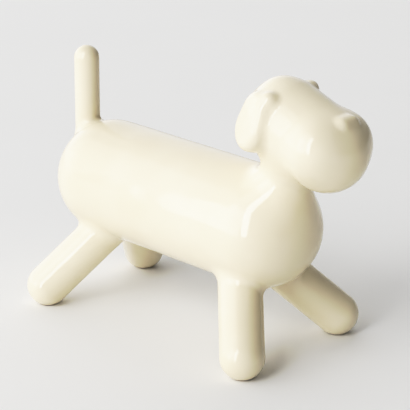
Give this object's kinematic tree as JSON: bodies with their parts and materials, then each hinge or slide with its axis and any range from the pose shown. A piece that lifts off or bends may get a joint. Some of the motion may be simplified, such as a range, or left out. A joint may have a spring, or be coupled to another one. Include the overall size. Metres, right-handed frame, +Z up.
{
  "type": "dog figurine",
  "caption": "Plain glazed ceramic dog ornament with a round-ended body, splayed legs, upright tail and hanging ears, standing on small flats under its feet.",
  "frame": {"origin": "on the surface it stands on, under the middle of its length and width", "axes": "+X from tail to nose, +Y to the dog's left, +Z up"},
  "size_m": [0.1924, 0.095, 0.1403],
  "materials": {
    "glaze": "glossy ivory glaze"
  },
  "bodies": {
    "root": {"dog_figurine": "glaze"}
  },
  "joints": []
}
